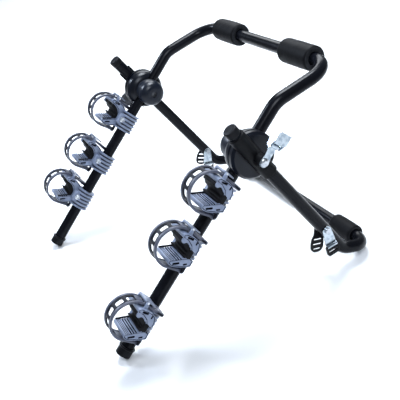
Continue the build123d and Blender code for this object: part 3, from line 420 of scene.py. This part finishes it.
def outline(corners, segments=5):
    """Flat face in the xy plane from corners of x, y and rounding."""
    work = bmesh.new()
    verts = [work.verts.new((x, y, 0)) for x, y, _ in corners]
    work.faces.new(verts)
    for vert, (_, _, rounding) in zip(verts, corners):
        if rounding:
            bmesh.ops.bevel(work, geom=[vert], offset=rounding, affect="VERTICES", segments=segments,
                            profile=0.5, material=-1, offset_type="OFFSET", clamp_overlap=False)
    return work


def thicken(work, low, high):
    """Extrudes a flat face from one height to another."""
    bmesh.ops.translate(work, vec=(0, 0, low), verts=work.verts)
    grown = bmesh.ops.extrude_face_region(work, geom=work.faces[:])["geom"]
    bmesh.ops.translate(work, vec=(0, 0, high - low), verts=points_of(grown))
    bmesh.ops.recalc_face_normals(work, faces=work.faces)


def prism(corners, low, high):
    """Upright solid with a rounded outline."""
    work = outline(corners)
    thicken(work, low, high)
    return work


def slab(bm, corners, low, high, edge=0.5, material=0):
    """A plate with a rounded outline and softened edges."""
    work = prism(corners, low, high)
    soften(work, edge)
    add(bm, work, Matrix.Identity(4), material)


JAW_OUTLINE = [(-17.3, 16.5, 2), (-28.7, 21.4, 2), (-34.6, 31.5, 8), (-36.5, 46, 8), (-36.5, 59, 4),
               (-33.2, 64, 3), (-27.5, 64, 3), (-24.5, 57.5, 2), (-24.5, 50.8, 8), (-17.4, 38.2, 9),
               (-6, 31, 3), (6, 31, 2), (24.6, 64, 2.4), (31.4, 62.6, 3), (33.5, 57, 4), (33.5, 50, 8),
               (27.4, 30, 10), (19.7, 15, 2)]


def oblong(x, y, length, width, upright=False):
    """Corners of a slot with round ends."""
    a, b = (width / 2, length / 2) if upright else (length / 2, width / 2)
    return [(x - a, y - b, width * 0.49), (x + a, y - b, width * 0.49), (x + a, y + b, width * 0.49),
            (x - a, y + b, width * 0.49)]


def box(x, y, rounding=0.0):
    """Corners of a rectangle from its x and y ranges."""
    return [(x[0], y[0], rounding), (x[1], y[0], rounding), (x[1], y[1], rounding), (x[0], y[1], rounding)]


JAW_ENDS = (3.0, 63.0)
GROOVE_RIM, GROOVE_INNER = 1.4, 3.0
GROOVE_REACH = ((61.6, 64.0), (2.0, 4.4))
THROUGH, FROM_MIDDLE = (-5, 70), (40, 70)
SLANT_FOOT = Vector((6, 31))
SLANT = Vector((18.6, 33.0)).normalized()


def sunk(corners, low, high, inset):
    """A sharp-cornered prism of an outline drawn in by a width, to cut a groove with."""
    work = outline([(x, y, 0) for x, y, _ in corners])
    work.normal_update()
    rim = bmesh.ops.inset_individual(work, faces=work.faces[:], thickness=inset, use_even_offset=True)
    bmesh.ops.delete(work, geom=rim["faces"], context="FACES")
    bmesh.ops.delete(work, geom=[v for v in work.verts if not v.link_faces], context="VERTS")
    thicken(work, low, high)
    return work


def tilted(x, y, length, width):
    """Corners of a round-ended slot along the slanting jaw."""
    corners = []
    for a, b in ((-1, -1), (1, -1), (1, 1), (-1, 1)):
        at = Vector((x, y)) + SLANT * (b * length / 2) + Vector((SLANT.y, -SLANT.x)) * (a * width / 2)
        corners.append((at.x, at.y, min(length, width) * 0.45))
    return corners


def dark(work):
    """Marks a cutter, so that what it cuts gets the darker second finish, a painted shade on the cut walls.
    """
    for face in work.faces:
        face.material_index = 1
    return work


def jaw_body():
    """The two jaws: a groove inside the edge of each end, slots, a cored base and gripping grooves, their
    walls in painted shade.
    """
    work = prism(JAW_OUTLINE, *JAW_ENDS)
    for low, high in GROOVE_REACH:
        groove = carve(dark(sunk(JAW_OUTLINE, low, high, GROOVE_RIM)),
                       sunk(JAW_OUTLINE, low - 1, high + 1, GROOVE_INNER))
        work = carve(work, groove)
    slots = [(oblong(-30.8, 47.5, 15, 4.4, True), THROUGH), (tilted(25.0, 47.5, 15, 4.4), THROUGH),
             (oblong(-27.0, 29.5, 7.5, 3.6), FROM_MIDDLE), (tilted(19.6, 28.6, 9, 3.6), FROM_MIDDLE),
             (box((-8, 8), (10, 24.3), 2), (31.5, 70))]
    for start, pitch, length, width in ((13.6, 5.0, 2.7, 6.0), (28.2, 3.0, 1.1, 2.2)):
        for i in range(3):
            spot = SLANT_FOOT + SLANT * (start + pitch * i)
            slots.append((tilted(spot.x, spot.y, length, width), THROUGH))
    for corners, reach in slots:
        work = carve(work, dark(prism(corners, *reach)))
    return work


COLLAR_BORE, COLLAR_HALF, VALLEY_SHADE_REACH = 14.06, 25, 22.6
RIDGES, RIDGE_PITCH = 6, 9.3
CLAMP_BOLT_HEIGHT = 19.55


def collar(bm):
    """Split collar round the arm, with painted shade between its ridges, and the lug that the clamp bolt
    draws shut.
    """
    rows = [(COLLAR_BORE, -COLLAR_HALF)]
    for i in range(RIDGES):
        low = -COLLAR_HALF + RIDGE_PITCH * i
        rows += [(24.9, low), (24.9, low + 3.5), (21.6, low + 4.3), (21.6, low + 8.5)]
    rows = rows[:-2] + [(COLLAR_BORE, COLLAR_HALF), (COLLAR_BORE, -COLLAR_HALF)]
    work = bmesh.new()
    turned(work, rows, ALONG_X, rounding=0.5, steps=64, segments=2)
    work = carve(work, prism(box((-40, 40), (0, 40)), -3, 0))
    add(bm, work, Matrix.Identity(4))
    # Painted shade: faces within the valley reach round the arm, between the ridges, get the third finish.
    for face in bm.faces:
        centre = face.calc_center_median()
        if math.hypot(centre.y, centre.z) < VALLEY_SHADE_REACH and abs(centre.x) < COLLAR_HALF:
            face.material_index = 2
    for low, high in ((-13, -3), (0, 4)):
        work = prism(box((-13, 13), (13, 31), 4), low, high)
        bore = bmesh.new()
        bmesh.ops.create_cone(bore, cap_ends=True, segments=32, radius1=3, radius2=3, depth=60,
                              matrix=Matrix.Translation((0, CLAMP_BOLT_HEIGHT, 0)))
        work = carve(work, bore)
        soften(work, 0.6)
        add(bm, work, Matrix.Identity(4))
    for x in (-9.5, 9.5):
        slab(bm, box((x - 1.2, x + 1.2), (20, 29.5), 0.8), -14.2, -12.5, edge=0.4)


PEG, PEG_RADIUS = (38.22, 18.8), 2.45
PIN = (-47.9, 48.0)
EARS = ((10.4, 14.4), (51.6, 55.6))


def ears(bm):
    """Two pairs of ears: one holds the strap's peg below the mouth and one the latch's pin above it."""
    for low, high in EARS:
        slab(bm, [(20, 16, 1), (37.5, 16, 1.5), (40.9, 18, 1.5), (40.4, 21, 1.5), (37, 22, 1.5),
                  (24, 22.5, 1)], low, high, material=1)
        slab(bm, [(-30.6, 42.5, 1), (-38, 44, 4), (-47.9, 45.2, 2), (-50.6, 48, 2.4), (-47.9, 50.8, 2),
                  (-38, 52, 4), (-30.6, 53.5, 1)], low, high)
    low, high = EARS[0][0], EARS[1][1]
    turned(bm, [(0, low), (PEG_RADIUS, low), (PEG_RADIUS, high), (0, high)], Matrix.Translation((*PEG, 0)),
           rounding=0.5, steps=32)


cradle = bmesh.new()
body = jaw_body()
bmesh.ops.remove_doubles(body, verts=body.verts, dist=0.01)
bmesh.ops.dissolve_limit(body, angle_limit=math.radians(2), verts=body.verts, edges=body.edges)
soften(body, 0.35, angle=38)
join(cradle, body)
# The far rim along the slanting jaw is painted near-black, a painted shade.
far_rim = [(7.6, 33.5, 0.6), (24.0, 62.8, 1.5), (21.4, 64.2, 1.2), (5.6, 36.5, 1)]
slab(cradle, far_rim, 3.2, 6.4, edge=0.5, material=1)
near_rim = [(-26.5, 62.8, 2), (-17.6, 62.8, 4), (-15.8, 55.2, 3.5), (-20.8, 51.6, 2.5), (-19.6, 45, 4),
            (-13.6, 38.4, 2), (-17.4, 36.6, 1.5), (-24.5, 46.6, 6), (-27, 56, 2)]
slab(cradle, near_rim, 59.6, 62.9, edge=0.7)
collar(cradle)
ears(cradle)

LEFT_STATIONS = (101.0, 229.0, 342.0)
RIGHT_STATIONS = (102.0, 225.0, 394.0)
PLACES = [("left", -1, n, s) for n, s in enumerate(LEFT_STATIONS, 1)]
PLACES += [("right", 1, n, s) for n, s in enumerate(RIGHT_STATIONS, 1)]


def at_each_cradle(name, bm, materials, part, body="cradle_{}_{}", smooth=40.0):
    """Repeats a cradle's piece, made about the arm's own axes, at all six cradles."""
    for word, side, number, station in PLACES:
        copy = bm.copy()
        copy.transform(arm_at(side, station))
        if side > 0:
            bmesh.ops.reverse_faces(copy, faces=copy.faces)
        piece(f"cradle_{word}_{number}_{name}", copy, materials, body.format(word, number),
              [f"cradle_{word}_{number}_{part}"], smooth)
    bm.free()


at_each_cradle("moulding", cradle, [jaw_plastic, dark_nylon_and_painted_shade, valley_painted_shade], "jaw")


# Rubber liners: a black rubber block pressed onto each cradle's bed and up its upper jaw, notched for the
# bicycle's tube, which it keeps from slipping and from being scratched.
rubber = finish("black_rubber", (0.0045, 0.0045, 0.0052), 0.60, tint=(0.0085, 0.0085, 0.0098),
                tint_scale=90.0, bump=0.4, bump_scale=1200.0, bump_depth=0.0002, gloss=0.08)
pad = bmesh.new()
slab(pad, [(-24.6, 57.8, 1), (-24.6, 50.8, 7), (-17.4, 38.1, 8), (-6, 30.9, 2), (5.9, 30.9, 1),
           (9.6, 37.2, 1), (4.6, 44.6, 1.2), (2.4, 44.2, 1), (1.6, 35.4, 2), (-3.4, 35.8, 2),
           (-6.6, 39.6, 1.5), (-9.4, 47.4, 1.5), (-15.6, 53.0, 2), (-16.4, 58, 2)], 4, 62, edge=0.6)
slab(pad, [(-12, 33, 1), (-9, 24.6, 1), (7, 24.6, 1), (7.6, 33, 1), (4, 36, 1), (-6, 37, 1)],
     60.5, 63.2, edge=0.4)
at_each_cradle("rubber_pad", pad, [rubber], "liner")


# Ladder straps: injection-moulded grey straps with two raised rails and a row of rounded windows between.
# One end turns on the peg below the mouth, and the free end runs through the latch and past the upper jaw.
strap_plastic = finish("grey_strap", (0.046, 0.052, 0.078), 0.34, tint=(0.074, 0.082, 0.118), tint_scale=48.0,
                       uneven=0.07, bump=0.25, bump_scale=1300.0, bump_depth=0.00012, gloss=0.45)
# Painted shade: a near-black finish for the web and rungs between the rails along the laddered stretch. The
# solid stretches are grey covers laid over the web.
ladder_web_painted_shade = finish("dark_strap_web", (0.0065, 0.0072, 0.0110), 0.42, tint=(0.0120, 0.0135, 0.0200),
                   tint_scale=48.0, bump=0.25, bump_scale=1300.0, bump_depth=0.00012, gloss=0.12)
LOOP_RADIUS = 42.0
LOOP_CENTRE = (0.0, 57.0)
LOOP_START, LOOP_END = math.radians(-6), math.radians(190)
FOOT = 34.0
LOOP = LOOP_RADIUS * (LOOP_END - LOOP_START)
TAIL = 52.0
LENGTH = FOOT + LOOP + TAIL
PITCH = 24.0
WINDOWS = [FOOT + LOOP - PITCH * (i + 1.1) for i in range(5)] + [FOOT + LOOP + 8.8, FOOT + LOOP + 32.8]
LAST_WINDOW = WINDOWS[4]
BAND, RAIL = 18.0, 5.8
BAND_MIDDLE = 33.0


def onto_loop(vert):
    """Bends a point of the flat strap, x along and z through it, up the foot, round and down the tail."""
    along, across, rise = vert.co
    turn = min(LOOP_START + max(0.0, along - FOOT) / LOOP_RADIUS, LOOP_END)
    past = min(0.0, along - FOOT) + max(0.0, along - FOOT - LOOP)
    radius = LOOP_RADIUS + rise
    vert.co = (LOOP_CENTRE[0] + radius * math.cos(turn) - past * math.sin(turn),
               LOOP_CENTRE[1] + radius * math.sin(turn) + past * math.cos(turn), BAND_MIDDLE + across)


flat = bmesh.new()
web = prism(box((0, LENGTH), (-13.4, 13.4), 3), -1.6, 1.0)
for centre in WINDOWS:
    web = carve(web, prism(box((centre - 8.4, centre + 8.4), (-7.2, 7.2), 3), -5, 5))
bmesh.ops.dissolve_limit(web, angle_limit=math.radians(2), verts=web.verts, edges=web.edges)
soften(web, 0.3, angle=50)
add(flat, web, Matrix.Identity(4), material=1)
for low, high in ((0, LAST_WINDOW - 9.5), (FOOT + LOOP - 17.0, FOOT + LOOP - 1.0),
                  (LENGTH - 10.0, LENGTH - 6.0)):
    cover = prism(box((low, high), (-13, 13), 0.8), -1.8, 1.8)
    soften(cover, 0.4, angle=50)
    add(flat, cover, Matrix.Identity(4))
for side in (-1, 1):
    rail = prism(box((0, LENGTH), tuple(sorted((side * (BAND - RAIL), side * BAND))), 1.5), -2.45, 2.45)
    soften(rail, 0.8, angle=50)
    add(flat, rail, Matrix.Identity(4))
# The rungs between the windows take the painted shade too.
for before, after in zip([LAST_WINDOW - PITCH] + sorted(WINDOWS), sorted(WINDOWS)):
    middle = (before + after) / 2
    if 1 < after - before < 26:
        rung = prism(box((middle - 2.2, middle + 2.2), (-13, 13), 0.8), -1.7, 1.7)
        soften(rung, 0.4, angle=50)
        add(flat, rung, Matrix.Identity(4), material=1)
knob = prism(box((LENGTH - 20, LENGTH), (-BAND, BAND), 2.5), -3.9, 3.9)
soften(knob, 2.2, angle=50, segments=3)
add(flat, knob, Matrix.Identity(4))
cuts = int(LENGTH / 2.5)
for i in range(1, cuts):
    bmesh.ops.bisect_plane(flat, geom=flat.verts[:] + flat.edges[:] + flat.faces[:], dist=0.0001,
                           plane_co=(i * LENGTH / cuts, 0, 0), plane_no=(1, 0, 0))
for vert in flat.verts:
    onto_loop(vert)
turned(flat, [(2.6, 15), (5.1, 15), (5.1, 51), (2.6, 51), (2.6, 15)], Matrix.Translation((*PEG, 0)),
       rounding=0.7, steps=32)
at_each_cradle("ladder_strap", flat, [strap_plastic, ladder_web_painted_shade], "strap", smooth=50)


# Latches: a curved thumb lever on a steel pin between the upper ears, moulded in paler grey nylon with a
# rim along each side. Its pawl drops into the strap's windows and holds the strap.
latch_plastic = finish("pale_grey_latch", (0.165, 0.192, 0.260), 0.32, tint=(0.215, 0.245, 0.320),
                       tint_scale=60.0, uneven=0.06, bump=0.22, bump_scale=1400.0, bump_depth=0.0001,
                       gloss=0.45)
lever = bmesh.new()
lean = Matrix.Translation((*PIN, 0)) @ Matrix.Rotation(math.radians(10), 4, "Z")
work = prism([(-3.0, 5.0, 1.6), (-3.1, -8, 6), (-2.8, -21.8, 1.0), (-0.4, -21.8, 0.9), (0.2, -6, 2.0),
              (2.9, -2.6, 1.4), (2.9, 2.6, 1.4), (0.6, 5.0, 1.2)], 15.6, 50.4)
soften(work, 0.7)
add(lever, work, lean)
work = prism(box((-1.5, 6.2), (-8.7, -3.9), 0.9), 28.6, 37.4)
soften(work, 0.4)
add(lever, work, lean)
for z in (17.4, 48.6):
    work = prism([(-3.05, 3, 0.4), (-3.4, -6, 2), (-3.1, -20, 0.6), (-2.4, -20, 0.4), (-2.4, 3, 0.4)],
                 z - 1.2, z + 1.2)
    soften(work, 0.25)
    add(lever, work, lean)
at_each_cradle("latch_lever", lever, [latch_plastic], "latch", body="cradle_{}_{}_latch")


# Cradle fixings: the clamp bolt through each collar's lug, with a socket head and a washer, and the pin
# that the latch turns on, headed over at both ends. Zinc-plated steel.
fixing = bmesh.new()
clamp_bolt = Matrix.Translation((0, CLAMP_BOLT_HEIGHT, 0))
turned(fixing, [(0, 22), (3, 22), (3, -13), (6, -13), (6, -17.4), (3.1, -17.4), (2.8, -14.8), (0, -14.8)],
       clamp_bolt, rounding=0.5, steps=32)
turned(fixing, [(3.4, -12.9), (7.2, -12.9), (7.2, -13.9), (3.4, -13.9)], clamp_bolt, rounding=0.2, steps=32)
turned(fixing, [(0, 9.9), (2.3, 9.9), (2.3, 10.4), (1.48, 10.5), (1.48, 55.5), (2.3, 55.6), (2.3, 56.1),
                (0, 56.1)], Matrix.Translation((*PIN, 0)), rounding=0.2, steps=24)
at_each_cradle("bolt_and_pin", fixing, [steel], "fixings")


# Strap buckles: cam buckles on the hub bolts, and on the legs' bolts zinc tongues with black one-slot
# frames, and black three-slot plates. Pressed zinc-plated steel, with painted shade in dark steel on the
# left hub's frame and lever, which hang in shadow, and moulded black nylon for the one-slot frames and
# the plates.
zinc = finish("bright_zinc", (0.27, 0.32, 0.37), 0.22, metallic=1.0, tint=(0.56, 0.62, 0.67),
              tint_scale=110.0, uneven=0.12, bump=0.35, bump_scale=700.0, bump_depth=0.00015)
black_nylon = finish("black_nylon", (0.0035, 0.0037, 0.0045), 0.36, tint=(0.0065, 0.0070, 0.0082),
                     tint_scale=70.0, bump=0.25, bump_scale=1400.0, bump_depth=0.0001, gloss=0.12)
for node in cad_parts:
    # Painted shade: the left hub's frame and lever, zinc like the right's, are given the dark steel as they
    # hang in shadow.
    if node in ("buckle_hub_left_frame", "buckle_hub_left_lever"):
        dress(node, dark_steel_and_painted_shade)
    elif node.startswith("buckle_hub") or node.endswith("tongue"):
        dress(node, zinc)
    elif node.endswith("_frame") and node.startswith("buckle"):
        dress(node, black_nylon)
PLATE_HEIGHTS, PLATE_EDGE = (0.05, 3.95), 1.1
SLOT_HALF, PLATE_BORE = 2.3, 4.06
for word, side, station, depth, swing, facing, tab in (
        ("outer_left", -1, 288.0, 14.15, 52.0, 1, 19.0), ("inner_right", 1, 258.0, -14.15, 43.0, -1, 35.0)):
    corners = [(-9.8, 9.8, 9), (tab - 10, 9.8, 4), (tab - 3, 14.5, 4), (tab + 14, 16.9, 9),
               (tab + 26, 14, 6), (tab + 31.1, 7, 5)]
    corners = [(x, -y, r) for x, y, r in corners] + corners[::-1]
    work = prism(corners, *PLATE_HEIGHTS)
    soften(work, PLATE_EDGE, segments=3)
    for row, reach in ((0, 10.6), (11.5, 11.4), (23, 9.4)):
        slot = box((tab + row - SLOT_HALF, tab + row + SLOT_HALF), (-reach, reach), 1.4)
        work = carve(work, prism(slot, -3, 8))
    bore = bmesh.new()
    bmesh.ops.create_cone(bore, cap_ends=True, segments=48, radius1=PLATE_BORE, radius2=PLATE_BORE, depth=30)
    turn = Matrix.Rotation(math.radians(swing), 4, "Z") @ Matrix.Diagonal((1, facing, facing, 1))
    plate = bmesh.new()
    add(plate, carve(work, bore), leg_at(side, station) @ Matrix.Translation((0, 0, depth)) @ turn)
    piece(f"buckle_{word}_slotted", plate, [black_nylon], f"buckle_{word}_plate",
          [f"buckle_{word}_plate"])


# Studio: a pale floor, a pale blue-white world and four soft area lights, one of them straight above the
# far floor to keep the background white. The camera stands at the photograph's viewing angle.
floor_mesh = bmesh.new()
bmesh.ops.create_grid(floor_mesh, x_segments=1, y_segments=1, size=6.0)
mesh = bpy.data.meshes.new("floor")
floor_mesh.to_mesh(mesh)
floor_mesh.free()
floor = bpy.data.objects.new("floor", mesh)
bpy.context.scene.collection.objects.link(floor)
floor.data.materials.append(finish("pale_floor", (0.86, 0.865, 0.87), 0.85, tint=(0.88, 0.885, 0.89),
                                   tint_scale=2.0, bump=0.0))

world = bpy.data.worlds.new("studio")
world.use_nodes = True
world.node_tree.nodes["Background"].inputs["Color"].default_value = (0.86, 0.92, 1.0, 1)
world.node_tree.nodes["Background"].inputs["Strength"].default_value = 0.24
bpy.context.scene.world = world
bpy.context.scene.view_settings.view_transform = "Standard"
CARRIER = (0, 0, 0.25)
for name, place, aim, size, power, colour in (
        ("top_softbox", (-0.5, 0.5, 2.4), CARRIER, 0.9, 84, (0.86, 0.92, 1.0)),
        ("left_softbox", (-1.5, -1.0, 1.6), CARRIER, 0.5, 30, (0.74, 0.84, 1.0)),
        ("far_softbox", (-3.6, 2.2, 2.6), (-3.6, 2.2, 0), 3.0, 170, (0.92, 0.96, 1.0)),
        ("camera_fill", (1.5, -0.3, 1.75), CARRIER, 0.8, 30, (0.84, 0.91, 1.0))):
    light = bpy.data.lights.new(name, "AREA")
    light.size = size
    light.energy = power
    light.color = colour
    lamp = bpy.data.objects.new(name, light)
    bpy.context.scene.collection.objects.link(lamp)
    lamp.location = place
    lamp.rotation_euler = (Vector(aim) - Vector(place)).to_track_quat("-Z", "Y").to_euler()

camera = bpy.data.cameras.new("camera")
camera.lens = 58.897
camera.sensor_width = 36.0
view = bpy.data.objects.new("camera", camera)
bpy.context.scene.collection.objects.link(view)
view.location = (1.34400624, -0.44316298, 0.89530037)
view.rotation_euler = [math.radians(a) for a in (60.81848379, 11.53231943, 64.03842714)]
bpy.context.scene.camera = view
